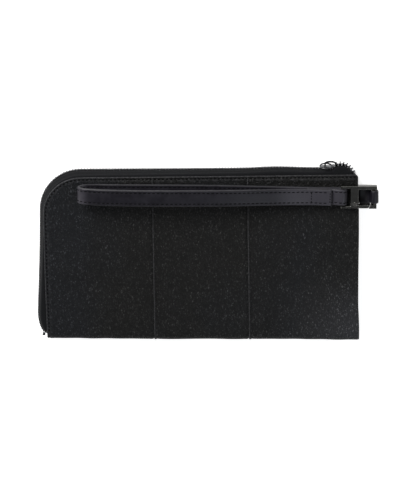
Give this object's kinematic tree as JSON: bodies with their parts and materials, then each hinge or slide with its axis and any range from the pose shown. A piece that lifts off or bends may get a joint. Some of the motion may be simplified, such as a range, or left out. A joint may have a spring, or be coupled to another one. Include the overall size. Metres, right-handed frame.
{
  "type": "travel document organizer",
  "caption": "Long leather travel document organizer with an L-shaped zip, sewn front panels and a wrist strap on a metal snap hook.",
  "frame": {"origin": "centre of the back panel's outer face, on which the organizer lies", "axes": "+X along the length to the closed right side, +Y up the front to the zipped top edge, +Z out of the front"},
  "size_m": [0.257, 0.1407, 0.0352],
  "materials": {
    "grained_leather": "pebble grain, satin",
    "strap_leather": "smooth, satin, burnished edges",
    "lining": "fine twill",
    "zip_tape": "woven tape",
    "dark_metal": "gun-metal plating, polished"
  },
  "bodies": {
    "root": {"back_panel": "grained_leather", "back_lining": "lining", "passport_pocket": "lining", "card_slot_1": "lining", "card_slot_2": "lining", "card_slot_3": "lining", "card_slot_4": "lining", "zip_tape_back": "zip_tape", "zip_teeth_back": "dark_metal", "zip_bottom_stop": "dark_metal", "side_gusset": "grained_leather"},
    "front_cover": {"front_panel_left": "grained_leather", "front_panel_middle": "grained_leather", "front_panel_right": "grained_leather", "front_lining": "lining", "boarding_pass_pocket": "lining", "zip_tape_front": "zip_tape", "zip_teeth_front": "dark_metal", "strap_tab": "strap_leather"},
    "slider": {"zip_slider": "dark_metal"},
    "pull": {"pull_ring": "dark_metal"},
    "hook": {"hook_frame": "dark_metal", "gate_rivet": "dark_metal", "gate_spring": "dark_metal"},
    "gate": {"hook_gate": "dark_metal"},
    "strap": {"wrist_strap": "strap_leather"}
  },
  "joints": [
    {"name": "cover_open", "type": "hinge", "parent": "root", "child": "front_cover", "pos_m": [0, -0.067, 0.0075], "axis": [1, 0, 0], "range_deg": [0, 20], "deforming": ["side_gusset"]},
    {"name": "slider_slide", "type": "slide", "parent": "root", "child": "slider", "axis": [-0.9998, 0, 0.021], "range_m": [0, 0.18]},
    {"name": "ring_swing", "type": "hinge", "parent": "slider", "child": "pull", "pos_m": [0.097, 0.0706, 0.00568], "axis": [-0.9998, 0, 0.021], "range_deg": [0, 36]},
    {"name": "hook_swing", "type": "hinge", "parent": "front_cover", "child": "hook", "pos_m": [0.132, 0.0487, 0.0172], "axis": [0, 1, 0], "range_deg": [0, 110]},
    {"name": "gate_open", "type": "hinge", "parent": "hook", "child": "gate", "pos_m": [0.1171, 0.0433, 0.0172], "axis": [0, 0, 1], "range_deg": [0, 25], "stiffness_Nm_per_rad": 0.01, "springref_deg": -17.19},
    {"name": "strap_swing", "type": "hinge", "parent": "hook", "child": "strap", "pos_m": [0.1081, 0.0489, 0.0172], "axis": [0, 1, 0], "range_deg": [0, 65]}
  ],
  "couplings": [
    {"joint": "slider_slide", "follows": "cover_open", "m_per_rad": 0.5156}
  ]
}
